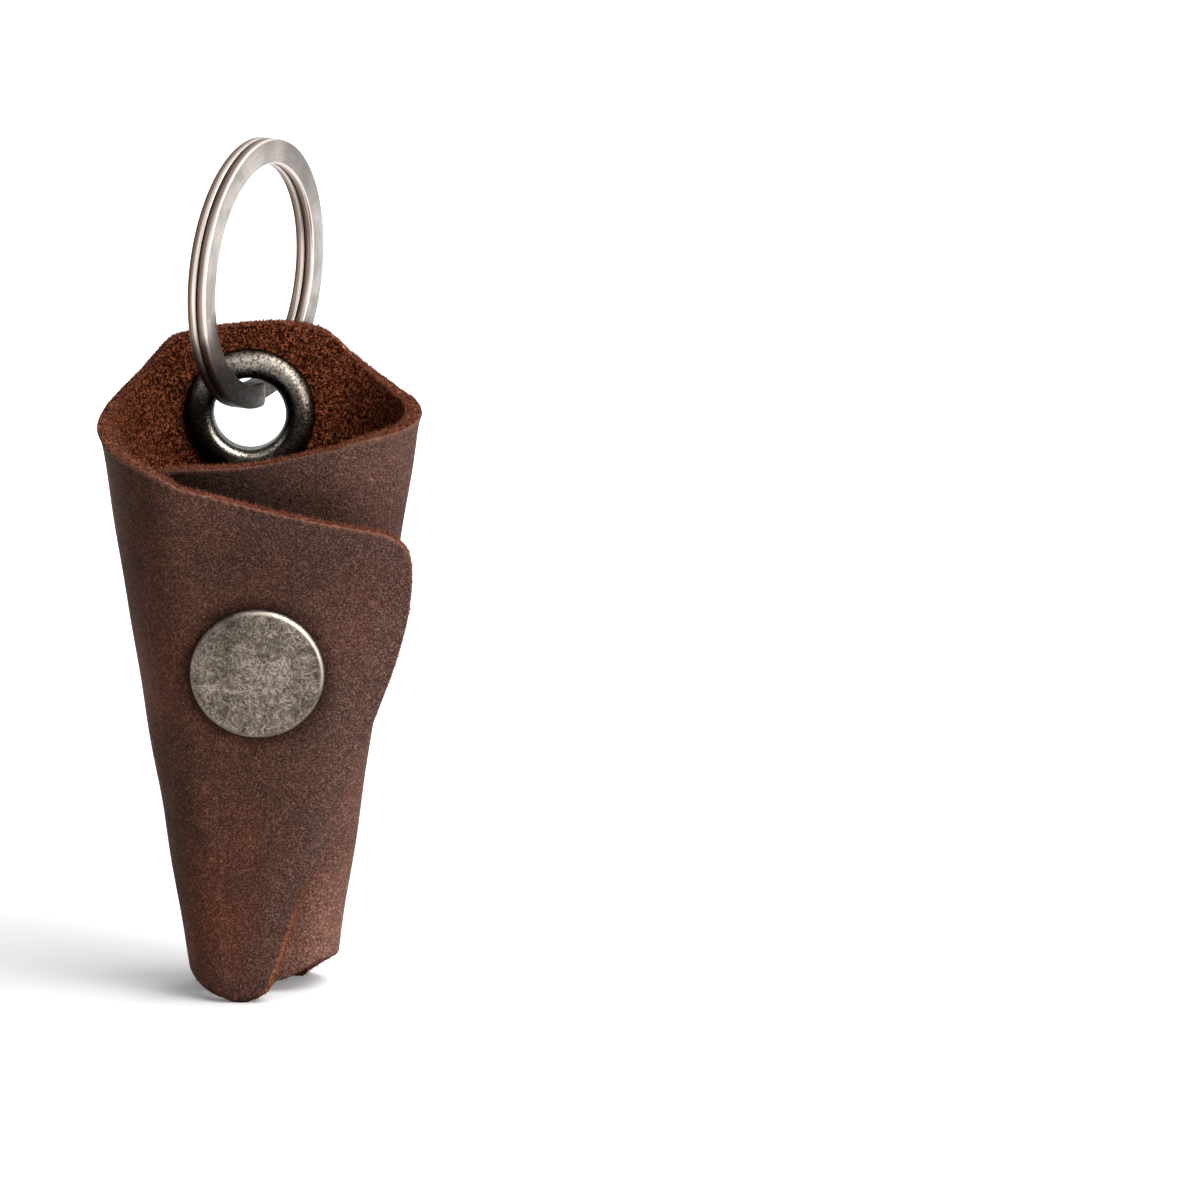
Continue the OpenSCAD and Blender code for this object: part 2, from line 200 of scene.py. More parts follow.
# Height of the middle of the bend lines
MID_Z = 32.0

# Loose fibres
RIM_FIBRES = 9000
RIM_FIBRE_L = 0.26
SUEDE_FIBRES = 12000
SUEDE_FIBRE_L = 0.36
FIBRE_W = 0.055
FIBRE_SPREAD = 0.75
FIBRE_SUNK = 0.05
FIBRE_LOWEST = 0.03
# The share of fibres that cleaner stretches keep
CLEAN_SHARE = 0.12

# Directions of the cap's brush marks and the suede's hairs
BRUSH_TURNS = ((0, 12, 0), (0, 38, 0), (0, 71, 0), (0, 97, 0), (0, 128, 0), (0, 161, 0))
NAP_TURNS = ((10, 20, 0), (0, 70, 30), (40, 125, 0), (20, 160, 60))
# Bright, dull and dark tones, roughness, share of brush marks and share of pits
EYELET_NICKEL = ((108, 96, 85), (38, 31, 26), (10, 8, 6), 0.34, 0.1, 0.95)
CAP_NICKEL = ((150, 138, 127), (62, 55, 48), (34, 30, 26), 0.42, 0.75, 0.1)
INNER_NICKEL = ((176, 166, 152), (110, 100, 90), (52, 45, 40), 0.4, 0.3, 0.2)
SPRING_STEEL = ((188, 186, 182), (150, 148, 144), (90, 88, 86), 0.3, 0.2, 0.0)


def cos_sin(angle):
    return math.cos(math.radians(angle)), math.sin(math.radians(angle))


def half_w(z):
    return (FOOT_W + (MOUTH_W - FOOT_W) * z / MOUTH_Z) / 2


def depth(z):
    return FOOT_D + (MOUTH_D - FOOT_D) * z / MOUTH_Z


def back_y(z):
    return LEATHER_T / 2 + z * math.tan(math.radians(BACK_LEAN))


def front_y(z):
    return back_y(z) - depth(z)


# Where the fittings sit on the leather
EYELET_SEAT = (EYELET_X, back_y(EYELET_Z) - LEATHER_T, EYELET_Z)
SNAP_SEAT = (0, front_y(SNAP_Z), SNAP_Z)


def smooth(x, table):
    """A smooth curve through a table of [position, value]."""
    xs, ys = np.array(table, float).T
    slope = np.empty(len(xs))
    slope[1:-1] = (ys[2:] - ys[:-2]) / (xs[2:] - xs[:-2])
    slope[0] = (ys[1] - ys[0]) / (xs[1] - xs[0])
    slope[-1] = (ys[-1] - ys[-2]) / (xs[-1] - xs[-2])
    x = np.asarray(x, float)
    i = np.clip(np.searchsorted(xs, x, side="right") - 1, 0, len(xs) - 2)
    w = xs[i + 1] - xs[i]
    k = np.clip((x - xs[i]) / w, 0, 1)
    return ((2 * k**3 - 3 * k**2 + 1) * ys[i] + (k**3 - 2 * k**2 + k) * w * slope[i]
            + (3 * k**2 - 2 * k**3) * ys[i + 1] + (k**3 - k**2) * w * slope[i + 1])


def fold_xy(z, turn, layers, inset):
    """The left fold: turn runs from -90 at the front over 0 at the widest point to 90 at the back."""
    a, f, b = half_w(z), FLAT_SHARE * half_w(z), (depth(z) - layers) / 2
    c, s = (abs(v) ** (2 / FOLD_POWER) for v in cos_sin(turn))
    return -f - (a - f - inset) * c, back_y(z) - b + math.copysign(1, turn) * (b - inset) * s


def flap_xy(z, m, layers, inset, reach, edge, curl):
    """The flat stretch of a flap that comes off the left fold; m runs from 1 to 2."""
    f = FLAT_SHARE * half_w(z)
    edge_x = reach * smooth(z / SHEET_H, edge)
    x = -f + (m - 1) * (edge_x + f)
    past = np.maximum(x - f, 0) / np.maximum(edge_x - f, LEATHER_T)
    return x, front_y(z) + layers + inset + curl * past**2


def columns():
    """The sheet's columns, from the outer flap's free edge round the back to the inner flap's."""
    eased = np.sin(np.linspace(0, math.pi / 2, FLAP_COLUMNS))
    flap = list(1 + eased)[::-1][:-1]
    fold = np.linspace(-QUARTER, QUARTER, FOLD_COLUMNS)
    back = list(np.linspace(-1, 1, BACK_COLUMNS))[1:-1]
    return ([("outer_flap", m) for m in flap] + [("left_fold", t) for t in fold]
            + [("back", s) for s in back] + [("right_fold", t) for t in fold[::-1]]
            + [("inner_flap", m) for m in flap[::-1]])


def fold_station(turn):
    """The station of a turn: on the back's table before the bend line, and else on the flap's."""
    if turn > -BEND_TURN:
        return "back", 2 - turn / QUARTER
    return "flap", (-turn - BEND_TURN) / (QUARTER - BEND_TURN)


def column_ends(kind, place):
    """The foot and top of a column."""
    left = kind in ("left_fold", "outer_flap")
    table, station = fold_station(place) if kind.endswith("fold") else (kind, place)
    if table == "back":
        station = -station if left else station
        foot, top = BACK_FOOT, BACK_TOP
    else:
        foot, top = (OUTER_FOOT, OUTER_TOP) if left else (INNER_FOOT, INNER_TOP)
    return smooth(station, foot) * SHEET_H, smooth(station, top) * SHEET_H


def column_points(kind, place, z, inset):
    if kind == "back":
        return np.array([place * FLAT_SHARE * half_w(z), back_y(z) - inset, z]).T
    layers = 0 if kind in ("left_fold", "outer_flap") else LEATHER_T + FLAP_GAP
    if kind in FLAPS:
        x, y = flap_xy(z, place, layers, inset, *FLAPS[kind])
    else:
        x, y = fold_xy(z, place, layers, inset)
    return np.array([-x if layers else x, y, z]).T


def sheet_grids():
    """Points of the grain and suede faces, as [column, row, xyz]."""
    eased = (1 - np.cos(np.linspace(0, math.pi, ROWS + 1))) / 2
    rows = eased * ROW_EASE + np.linspace(0, 1, ROWS + 1) * (1 - ROW_EASE)
    grain, suede = [], []
    for kind, place in columns():
        foot, top = column_ends(kind, place)
        z = foot + (top - foot) * rows
        near_top = np.clip(1 - (top - z) / FLARE_H, 0, 1) ** 2
        side = 0.0
        if kind.endswith("fold"):
            side = math.cos(math.radians(place)) * (-1 if kind == "left_fold" else 1)
        for inset, grid in ((0, grain), (LEATHER_T, suede)):
            p = column_points(kind, place, z, inset)
            p[:, 0] += side * FLARE * near_top
            grid.append(p)
    return np.array(grain), np.array(suede)


def puff(grid, centre, fitting_r, shape):
    """The leather swells a little toward its front round a pressed fitting."""
    beyond, height, wide = shape
    r = np.linalg.norm((grid - centre)[..., [0, 2]], axis=-1)
    near = np.abs(grid[..., 1] - centre[1]) < PUFF_DEPTH
    grid[..., 1] -= height * np.exp(-(((r - (fitting_r + beyond)) / wide) ** 2)) * near


def ripple(p):
    """Slow unevenness of the hide, from -1 to 1."""
    x, y, z = p[..., 0], p[..., 1], p[..., 2]
    return (np.sin(x * 0.31 + z * 0.17 + 0.7) * np.sin(z * 0.23 - y * 0.29 + 1.9)
            + 0.5 * np.sin(x * 0.63 - z * 0.41 + y * 0.37 + 0.4)) / 1.5


def between(a, b, share):
    return a * (1 - share) + b * share


def unit(v):
    return v / np.maximum(np.linalg.norm(v, axis=-1, keepdims=True), 1e-12)


def new_object(name, points, faces):
    """A smoothly shaded mesh object from points in millimetres."""
    mesh = bpy.data.meshes.new(name)
    mesh.from_pydata((np.asarray(points) * MM).tolist(), [], faces)
    mesh.validate()
    obj = bpy.data.objects.new(name, mesh)
    bpy.context.scene.collection.objects.link(obj)
    mesh.shade_smooth()
    return obj


def float_attribute(obj, name, values):
    """Writes one value for each point, in a new attribute or over an old one."""
    layer = obj.data.attributes.get(name) or obj.data.attributes.new(name, "FLOAT", "POINT")
    layer.data.foreach_set("value", np.asarray(values, np.float32))


def read_attribute(obj, name):
    values = np.empty(len(obj.data.vertices), np.float32)
    obj.data.attributes[name].data.foreach_get("value", values)
    return values


def vector_attribute(obj, name, values):
    flat = np.asarray(values, np.float32).ravel()
    obj.data.attributes.new(name, "FLOAT_VECTOR", "POINT").data.foreach_set("vector", flat)


def own_points(obj):
    """A piece's points in millimetres."""
    co = np.empty(len(obj.data.vertices) * 3)
    obj.data.vertices.foreach_get("co", co)
    return co.reshape(-1, 3) / MM


def rim_distance(points, outline, farthest=9.0, block=4000):
    """How far each point lies from the sheet's outline, up to the farthest, worked out in blocks."""
    near = np.full(len(points), farthest)
    for start in range(0, len(points), block):
        gap = np.linalg.norm(points[start:start + block, None, :] - outline[None, ::2, :], axis=2)
        near[start:start + block] = np.minimum(gap.min(axis=1), farthest)
    return near


def boundary(columns_n, rows_n):
    """The outline of a grid as (column, row) pairs: foot, right side, top and left side in turn."""
    foot = [(i, 0) for i in range(columns_n)]
    right = [(columns_n - 1, j) for j in range(1, rows_n)]
    top = [(i, rows_n - 1) for i in range(columns_n - 2, -1, -1)]
    left = [(0, j) for j in range(rows_n - 2, 0, -1)]
    return foot + right + top + left


def rim_profile():
    """The cut edge across the thickness, as [share of the thickness, distance back from the outline]."""
    grain_turn = [(GRAIN_ARRIS * (1 - math.cos(a)) / LEATHER_T, GRAIN_ARRIS * (1 - math.sin(a)))
                  for a in np.linspace(0, math.pi / 2, 5)]
    middle = [(t, 0.0) for t in np.linspace(0.26, 0.8, 5)]
    suede_turn = [(1 - SUEDE_ARRIS * (1 - math.sin(a)) / LEATHER_T, SUEDE_ARRIS * (1 - math.cos(a)))
                  for a in np.linspace(0, math.pi / 2, 4)]
    return grain_turn + middle + suede_turn


def leather_sheet():
    """The whole sheet: both faces, the outline, the rim's rows of points and the way out of each."""
    grain, suede = sheet_grids()
    across = None
    for grid in (grain, suede):
        puff(grid, SNAP_SEAT, CAP_D / 2, SNAP_PUFF)
        puff(grid, EYELET_SEAT, FLANGE_D / 2, EYELET_PUFF)
        uneven = np.ones(grid.shape[:2])
        for centre in (SNAP_SEAT, EYELET_SEAT):
            far = np.linalg.norm(grid - centre, axis=-1)
            uneven *= np.clip((far - FLAT_R) / (RIPPLED_R - FLAT_R), 0, 1)
        if across is None:
            across = unit(suede - grain)
        grid += across * (RIPPLE * ripple(grid) * uneven)[..., None]
    loop = boundary(*grain.shape[:2])
    at = tuple(np.array(loop).T)
    g, s = grain[at], suede[at]
    along = unit(np.roll(g, -1, axis=0) - np.roll(g, 1, axis=0))
    outward = unit(np.cross(unit(s - g), along))
    inner = grain[np.clip(at[0], 1, grain.shape[0] - 2), np.clip(at[1], 1, grain.shape[1] - 2)]
    outward *= np.sign(np.sum(outward * (g - inner), axis=1, keepdims=True))
    rough = sum(height * np.sin(np.arange(len(g)) * turn + start) for height, turn, start in RIM_WAVES)
    rim = []
    for t, back in rim_profile():
        row = g + (s - g) * t - outward * back
        if 0.2 < t < 0.9:
            row += outward * (rough * math.sin(math.pi * t))[:, None]
        rim.append(row)
    grain[at], suede[at] = rim[0], rim[-1]
    return grain, suede, loop, np.array(rim), outward


def leather_half(name, sheet, first, last, materials):
    """One half of the sheet as a closed piece, from one column to another, with its seam closed flat."""
    grain, suede, loop, rim, _ = sheet
    n, rows = last - first + 1, grain.shape[1]
    keep = [k for k, (i, j) in enumerate(loop) if first <= i <= last]
    points = [grain[first:last + 1].reshape(-1, 3), suede[first:last + 1].reshape(-1, 3)]
    index = {}
    for k in keep:
        i, j = loop[k]
        spot = (i - first) * rows + j
        index[k] = [spot] + [None] * (len(rim) - 2) + [n * rows + spot]
    count = 2 * n * rows
    for r in range(1, len(rim) - 1):
        points.append(rim[r][keep])
        for order, k in enumerate(keep):
            index[k][r] = count + order
        count += len(keep)
    # Slot 0 is the grain, 1 the suede and 2 the cut edge
    faces, slots = [], []
    for i in range(n - 1):
        for j in range(rows - 1):
            a, b = i * rows + j, (i + 1) * rows + j
            faces += [(a, b, b + 1, a + 1), (n * rows + a, n * rows + a + 1, n * rows + b + 1, n * rows + b)]
            slots += [0, 1]
    for k in keep:
        other = (k + 1) % len(loop)
        if other not in index:
            continue
        for r in range(len(rim) - 1):
            a, b = index[k], index[other]
            faces.append((a[r], a[r + 1], b[r + 1], b[r]))
            slots.append(0 if r < RIM_GRAIN_ROWS else 2)
    # One flat face closes the seam: up the grain, over the top edge, down the suede and back along the foot
    seam = 0 if first else n - 1
    ends = [k for k in keep if loop[k][0] == seam + first and loop[k][1] in (0, rows - 1)]
    down, up = (index[k] for k in sorted(ends, key=lambda k: loop[k][1]))
    grain_line = [seam * rows + j for j in range(rows)]
    suede_line = [n * rows + v for v in grain_line]
    cap = grain_line + up[1:-1] + suede_line[::-1] + down[1:-1][::-1]
    faces.append(tuple(cap if seam else cap[::-1]))
    slots.append(1)
    obj = new_object(name, np.concatenate(points), faces)
    for material in materials:
        obj.data.materials.append(material)
    obj.data.polygons.foreach_set("material_index", slots)
    obj.data.set_sharp_from_angle(angle=math.radians(LEATHER_SHARP))
    return obj


def strands(name, roots, ways, lengths, width, seed):
    """Short tapering fibres, each a closed spike that starts a little under the surface."""
    draw = np.random.RandomState(seed)
    n = len(roots)
    ways = unit(ways + FIBRE_SPREAD * draw.normal(size=(n, 3)))
    bow = unit(draw.normal(size=(n, 3)))
    side = unit(np.cross(ways, bow))
    over = np.cross(ways, side)
    # Most fibres come out short and a few much longer
    lengths = lengths * (0.45 + 0.6 * draw.uniform(size=n) + 1.3 * draw.uniform(size=n) ** 6)
    stem = ways * lengths[:, None]
    # Three sides, full width at the root and three quarters of it halfway up, bowed aside toward the tip
    levels = ((roots - ways * FIBRE_SUNK, 1.0), (roots + stem * 0.5 + bow * lengths[:, None] * 0.08, 0.75))
    rings = []
    for centre, share in levels:
        for k in range(3):
            a = 2 * math.pi * k / 3
            rings.append(centre + (side * math.cos(a) + over * math.sin(a)) * width * share / 2)
    rings.append(roots + stem + bow * lengths[:, None] * 0.3)
    points = np.stack(rings, axis=1).reshape(-1, 3)
    points[:, 2] = np.maximum(points[:, 2], FIBRE_LOWEST)
    pattern = [(0, 2, 1), (0, 1, 4, 3), (1, 2, 5, 4), (2, 0, 3, 5), (3, 4, 6), (4, 5, 6), (5, 3, 6)]
    faces = [tuple(7 * i + v for v in face) for i in range(n) for face in pattern]
    obj = new_object(name, points, faces)
    float_attribute(obj, "tone", np.repeat(draw.uniform(0, 1, n), 7))
    return obj


def suede_roots(sheet, first, last, count, seed):
    """Random places on the suede face, thickest near the mouth, and the way each fibre leans out."""
    grain, suede = sheet[0], sheet[1]
    draw = np.random.RandomState(seed)
    n, rows = last - first + 1, suede.shape[1]
    i = first + draw.uniform(0, n - 1.001, count * 4)
    j = draw.uniform(0, rows - 1.001, count * 4)
    i0, j0 = i.astype(int), j.astype(int)
    wi, wj = (i - i0)[:, None], (j - j0)[:, None]

    def at(grid):
        return between(between(grid[i0, j0], grid[i0, j0 + 1], wj),
                       between(grid[i0 + 1, j0], grid[i0 + 1, j0 + 1], wj), wi)

    root, out = at(suede), unit(at(suede) - at(grain))
    corner = suede[i0, j0]
    cell = np.linalg.norm(np.cross(suede[i0 + 1, j0] - corner, suede[i0, j0 + 1] - corner), axis=1)
    weight = cell / cell.max() * np.clip((root[:, 2] - 20) / 30, CLEAN_SHARE, 1)
    under_flange = np.linalg.norm(root - EYELET_SEAT, axis=1) < FLANGE_D / 2 - 0.3
    weight[under_flange] = 0
    keep = np.flatnonzero(draw.uniform(size=len(weight)) < weight)[:count]
    return root[keep], out[keep]


def rim_roots(sheet, first, last, count, seed):
    """Random places on the cut edge, and the way out of it."""
    loop, rim, outward = sheet[2:]
    draw = np.random.RandomState(seed)
    k = np.array([k for k, (i, _) in enumerate(loop) if first <= i < last])
    following = (k + 1) % len(loop)
    edge = rim[RIM_GRAIN_ROWS]
    length = np.linalg.norm(edge[following] - edge[k], axis=1)
    # So long a step leads from one side of the sheet to the other
    length[length > 3] = 0
    middle = (edge[following] + edge[k]) / 2
    # Edges that face right above the foot, and the foot's edge, are cut clean
    clean = (outward[k][:, 0] > 0.6) & (middle[:, 2] > 14) | (outward[k][:, 2] < -0.5)
    length *= np.where(clean, CLEAN_SHARE, 1)
    pick = draw.choice(len(k), count, p=length / length.sum())
    a, b = k[pick], following[pick]
    step = draw.uniform(size=count)[:, None]
    row = draw.uniform(RIM_GRAIN_ROWS, len(rim) - 1.01, count)
    r0 = row.astype(int)
    part = (row - r0)[:, None]
    here, there = (between(rim[r0, k], rim[r0 + 1, k], part) for k in (a, b))
    return between(here, there, step), outward[a]


def tilted(points, tilt):
    c, s = cos_sin(tilt)
    return np.asarray(points) @ np.array([[1, 0, 0], [0, c, -s], [0, s, c]]).T


def on_tilted(origin, tilt):
    """The frame of a fitting, as a function from its own points: its axis leaves the leather's front."""
    return lambda points: tilted(points, tilt) + origin


def lathe(name, profile, place, highlight_and_shade, segments):
    """A closed turned solid from a profile of [radius, height]; the function given last returns a point's
    painted highlight, partly rubbing, and its painted shade, partly grime.
    """
    profile = np.array(profile, float)
    rings, index = [], []
    count = 0
    for r, h in profile:
        if r < 1e-6:
            rings.append([[0, 0, h]])
            index.append([count] * segments)
            count += 1
        else:
            a = np.arange(segments) * 2 * math.pi / segments
            rings.append(np.stack([r * np.cos(a), r * np.sin(a), np.full(segments, h)], axis=1))
            index.append(list(range(count, count + segments)))
            count += segments
    faces = []
    for k in range(len(profile)):
        a, b = index[k], index[(k + 1) % len(profile)]
        if len(set(a)) == 1 and len(set(b)) == 1:
            continue
        for i in range(segments):
            j = (i + 1) % segments
            face = list(dict.fromkeys((a[i], a[j], b[j], b[i])))
            faces.append(tuple(face))
    obj = new_object(name, place(np.concatenate(rings)), faces)
    outside(obj)
    obj.data.set_sharp_from_angle(angle=math.radians(TURNED_SHARP))
    state = np.concatenate([[highlight_and_shade(r, h)] * len(ring) for (r, h), ring in zip(profile, rings)])
    # Each point's painted highlight and painted shade
    float_attribute(obj, "wear_and_highlight", np.clip(state[:, 0], 0, 1))
    float_attribute(obj, "grime_and_shade", np.clip(state[:, 1], 0, 1))
    return obj


def outside(obj):
    """Turns every face outwards."""
    mesh = bmesh.new()
    mesh.from_mesh(obj.data)
    bmesh.ops.recalc_face_normals(mesh, faces=mesh.faces)
    mesh.to_mesh(obj.data)
    mesh.free()


def arc(r, h, radius_r, radius_h, start, end, steps):
    """Points of an elliptic arc round [r, h], from one angle to another in degrees."""
    angles = np.radians(np.linspace(start, end, steps + 1))
    return [[r + radius_r * math.cos(a), h + radius_h * math.sin(a)] for a in angles]


def eyelet_place():
    return on_tilted(EYELET_SEAT, QUARTER - BACK_LEAN)


def snap_place():
    lean = math.degrees(math.atan((MOUTH_D - FOOT_D) / MOUTH_Z - math.tan(math.radians(BACK_LEAN))))
    return on_tilted(SNAP_SEAT, QUARTER + lean)


def along_angle(points, angle):
    """How far points round a fitting's middle lie toward an angle, from the right over the top."""
    c, s = cos_sin(angle)
    return points[:, 0] * c + points[:, 2] * s


def eyelet():
    """The eyelet: a rounded crown on the suede side, a barrel and a roll behind the washer."""
    half = (FLANGE_D - HOLE_D) / 4
    washer_low = -LEATHER_T - SEAT_GAP - WASHER_T
    barrel_r = HOLE_D / 2 + BARREL_WALL
    profile = (arc(HOLE_D / 2 + half, SEAT_GAP, half, CROWN_H, 0, 180, 40)
               + arc(HOLE_D / 2 + ROLL_R, washer_low - SEAT_GAP, ROLL_R, ROLL_R, 180, 360, 16)
               + [[barrel_r, washer_low - SEAT_GAP], [barrel_r, SEAT_GAP]])

    def highlight_and_shade(r, h):
        # Painted highlight on the top of the crown, and painted shade low on its outer side, where it meets
        # the leather
        outer = (r - HOLE_D / 2) / (2 * half)
        return (h / CROWN_H - 0.8) * 0.9, (0.8 - h / CROWN_H) * 1.8 * (outer > 0.5)

    ring = lathe("eyelet_dressed", profile, eyelet_place(), highlight_and_shade, 128)
    eyelet_highlight_and_shade(ring, 2 * half)
    return ring


def eyelet_highlight_and_shade(ring, flange_w):
    """The eyelet's painted highlights and painted shade, as they change round the flange."""
    points = own_points(ring) - EYELET_SEAT
    r = np.hypot(points[:, 0], points[:, 2])
    right, up = points[:, 0] / r, points[:, 2] / r
    front = points[:, 1] < 0
    # 0 at the hole and 1 at the flange's outer edge
    share = (r - HOLE_D / 2) / flange_w

    # Painted highlights: a crescent on the lower inner slope, a band on the upper outer slope, and the top of
    # the crown
    lower = np.clip(along_angle(points, EYELET_HIGHLIGHT_AT) / r * 1.6 + 0.1, 0, 1)
    crescent = np.exp(-((share - 0.13) / 0.07) ** 2) * lower * front
    upper = np.exp(-((share - 0.7) / 0.13) ** 2) * np.clip(up * 1.6, 0, 1) * front
    wear_and_highlight = read_attribute(ring, "wear_and_highlight") * np.clip(up * 1.4, 0.1, 1) * 2
    wear_and_highlight = np.maximum(wear_and_highlight, crescent)
    wear_and_highlight = np.maximum(wear_and_highlight, upper * (0.85 - 0.35 * np.clip(right, 0, 1)))

    # Painted shade on the left, below the hole and on the right flank
    left = (along_angle(points, EYELET_SHADE_AT) / (FLANGE_D / 2) + 0.2) * 1.2
    below = (share - 0.35) * (-up - 0.1) * 2.2
    flank = np.clip(right * 1.6 - 0.2, 0, 1) * np.clip(0.8 - share, 0, 1) * 1.9
    shade_and_grime = read_attribute(ring, "grime_and_shade")
    for more in (left, below, flank):
        shade_and_grime = np.maximum(shade_and_grime, more)
    float_attribute(ring, "wear_and_highlight", np.clip(wear_and_highlight, 0, 1))
    float_attribute(ring, "grime_and_shade", np.clip(shade_and_grime, 0, 1) * (1 - crescent))


def snap_cap():
    """The cap: a flat top with a slight crown, a round shoulder and a hollow underside."""
    r = CAP_D / 2
    top = [[(r - CAP_FILLET) * k / 10, CAP_H - CAP_CROWN * (k / 10) ** 2] for k in range(10)]
    shoulder = arc(r - CAP_FILLET, CAP_H - CAP_CROWN - CAP_FILLET, CAP_FILLET, CAP_FILLET, 90, -20, 14)
    inner = r - CAP_SHELL
    profile = top + shoulder + [[r - 0.12, SEAT_GAP + 0.05], [r - 0.25, SEAT_GAP], [inner, SEAT_GAP],
                                [inner, CAP_H - CAP_SHELL], [0, CAP_H - CAP_SHELL]]

    def highlight_and_shade(radius, h):
        # Painted highlight, partly rubbing, round the shoulder, and painted shade at its rim and on the
        # underside
        rubbed_highlight = 1.2 - abs(radius - r + 0.22) / 0.2 - max(0.6 - h, 0) * 3
        return rubbed_highlight, (radius > r - 0.4) * 0.35 + (0.4 - h) * 3

    cap = lathe("snap_cap_dressed", profile, snap_place(), highlight_and_shade, 128)
    points = own_points(cap) - SNAP_SEAT
    # The painted highlight is kept on the upper right, and painted shade is laid over the upper left
    bright = np.clip(along_angle(points, CAP_HIGHLIGHT_AT) / r * 2.2 - 0.9, 0, 1)
    upper_left_shade = (points[:, 2] * 0.9 - points[:, 0] * 0.45) / r * 0.55
    shade_and_grime = np.maximum(read_attribute(cap, "grime_and_shade"), upper_left_shade)
    float_attribute(cap, "wear_and_highlight", read_attribute(cap, "wear_and_highlight") * (0.1 + 0.9 * bright))
    float_attribute(cap, "grime_and_shade", shade_and_grime * (1 - bright))
    return cap


def wire_section(half_wide, half_thick, corner):
    """A rounded rectangle round the wire, as [radial, sideways] points."""
    points = []
    for u, v, start in ((1, 1, 0), (-1, 1, 90), (-1, -1, 180), (1, -1, 270)):
        middle = u * (half_wide - corner), v * (half_thick - corner)
        points += arc(*middle, corner, corner, start, start + 90, 4)
    return np.array(points)


def key_ring():
    """One flat wire of nearly two turns, with rounded corners and ends and a narrow groove between."""
    wire_t = (RING_WIDE - TURN_GAP) / 2
    pitch = wire_t + TURN_GAP
    r = (RING_D - WIRE_W) / 2
    first, last = STEP_ARC / 2, 720 - STEP_ARC / 2
    # Sections lie close together where the wire's ends are rounded
    near_end = np.array([0, 0.04, 0.12, 0.25, 0.45, WIRE_END_R]) / r * 180 / math.pi
    middle = np.arange(first + 2 * RING_STEP, last - 2 * RING_STEP + 0.1, RING_STEP)
    points, shade_and_grime, wire, painted_dark_side = [], [], [], []
    for a in np.concatenate([first + near_end, middle, (last - near_end)[::-1]]):
        k = min(max((a - 360) / STEP_ARC + 0.5, 0), 1)
        side = (0.5 - k * k * (3 - 2 * k)) * pitch
        gone = min(a - first, last - a) * math.pi / 180 * r
        lost = WIRE_END_R - math.sqrt(WIRE_END_R**2 - (WIRE_END_R - gone) ** 2) if gone < WIRE_END_R else 0
        turn = math.radians(a + SPLIT_TURN)
        # Painted shade on the ring's upper right
        from_dark_side = (a + SPLIT_TURN) % 360 - RING_SHADE_AT
        for u, v in wire_section(WIRE_W / 2 - lost, wire_t / 2 - 0.15 * lost, WIRE_CORNER):
            points.append([(r + u) * math.cos(turn), side + v, (r + u) * math.sin(turn)])
            # Painted shade in the groove, on the faces of the turns that face each other
            shade_and_grime.append((-v * side / pitch * 4 / wire_t - 0.6) * 2.5)
            wire.append((a * math.pi / 180 * r, u, v))
            painted_dark_side.append(math.exp(-(from_dark_side / RING_SHADE_WIDE) ** 2))
    sides = len(wire_section(1, 1, WIRE_CORNER))
    faces = [tuple(range(sides)), tuple(len(points) - sides + k for k in range(sides))[::-1]]
    for i in range(len(points) // sides - 1):
        for k in range(sides):
            a, b = i * sides + k, i * sides + (k + 1) % sides
            faces.append((a, b, b + sides, a + sides))
    foot = HOLE_D / 2 - RING_ROOM - WIRE_W / 2
    start = eyelet_place()([[0, 0, -(LEATHER_T + WASHER_T + ROLL_R) / 2]])[0]
    c, s = cos_sin(RING_YAW)
    turn = np.array([[c, -s, 0], [s, c, 0], [0, 0, 1]])
    local = tilted(np.array(points) + [RING_SLIDE, 0, r], RING_LEAN) @ turn.T
    obj = new_object("key_ring_dressed", local + start + [0, 0, foot], faces)
    outside(obj)
    obj.data.set_sharp_from_angle(angle=math.radians(RING_SHARP))
    float_attribute(obj, "grime_and_shade", np.clip(shade_and_grime, 0, 1))
    float_attribute(obj, "painted_dark_side", painted_dark_side)
    vector_attribute(obj, "wire", wire)
    return obj


def srgb(r, g, b):
    """A colour written as 0 to 255 for a screen, turned to the linear values that shaders take."""
    def linear(v):
        v /= 255
        return v / 12.92 if v <= 0.04045 else ((v + 0.055) / 1.055) ** 2.4
    return linear(r), linear(g), linear(b), 1.0


def put_in(target, key, value):
    """Sets a node's input, or joins it where the value is the socket that feeds it."""
    if isinstance(value, bpy.types.NodeSocket):
        value.id_data.links.new(value, target.inputs[key])
    else:
        target.inputs[key].default_value = value


def node(kind, inputs, tree=None, **settings):
    """A new shader node, in the tree that is given or else the one that feeds it."""
    if tree is None:
        tree = next(value.id_data for value in inputs.values() if isinstance(value, bpy.types.NodeSocket))
    made = tree.nodes.new("ShaderNode" + kind)
    for key, value in settings.items():
        setattr(made, key, value)
    for key, value in inputs.items():
        put_in(made, key, value)
    return made


def calc(operation, a, b=0.0, clamp=False):
    return node("Math", {0: a, 1: b}, operation=operation, use_clamp=clamp).outputs[0]


def plus(a, b, clamp=False):
    return calc("ADD", a, b, clamp)


def minus(a, b):
    return calc("SUBTRACT", a, b)


def times(a, b):
    return calc("MULTIPLY", a, b)


def larger(a, b):
    return calc("MAXIMUM", a, b)


def dimmed(light, share):
    return times(light, minus(1.0, share))


def span(value, low, high, to_low=0.0, to_high=1.0):
    """Maps a range to another, held at both ends."""
    inputs = {"Value": value, "From Min": low, "From Max": high, "To Min": to_low, "To Max": to_high}
    return node("MapRange", inputs, clamp=True).outputs[0]


